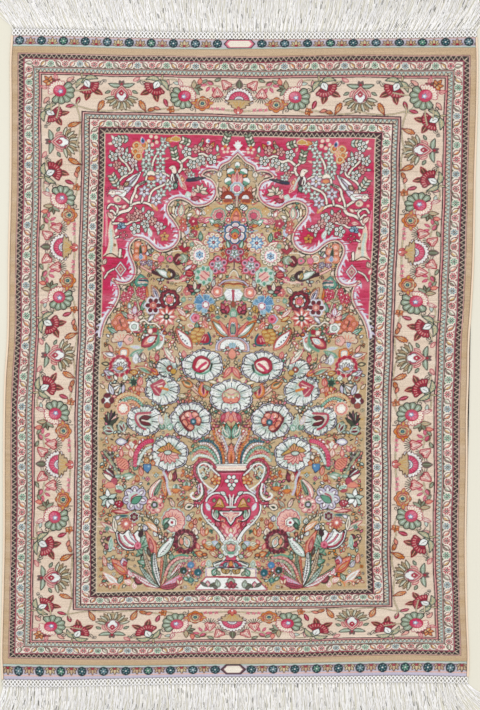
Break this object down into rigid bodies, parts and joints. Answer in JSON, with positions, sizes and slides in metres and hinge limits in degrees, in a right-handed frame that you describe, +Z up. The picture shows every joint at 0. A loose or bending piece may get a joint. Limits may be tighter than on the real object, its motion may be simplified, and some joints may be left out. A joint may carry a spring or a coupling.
{
  "type": "silk prayer rug",
  "caption": "Small knotted silk prayer rug lying flat, with thin woven ends, overcast side cords and a knotted white fringe at each end.",
  "frame": {"origin": "middle of the underside of the whole rug, fringes included, where it lies on the floor", "axes": "+Z up out of the pile, +Y along the rug towards the top of the niche, +X across it to the right"},
  "size_m": [0.6926, 0.9922, 0.003],
  "materials": {
    "pile_silk": "cut silk pile, many dyed colours, soft directional sheen",
    "cord_silk": "pale silk overcasting",
    "warp_silk": "undyed white silk warp ends, knotted into a net and left as fringe"
  },
  "bodies": {
    "root": {"carpet": "pile_silk", "selvedge_left": "cord_silk", "selvedge_right": "cord_silk", "fringe_top": "warp_silk", "fringe_bottom": "warp_silk"}
  },
  "joints": []
}
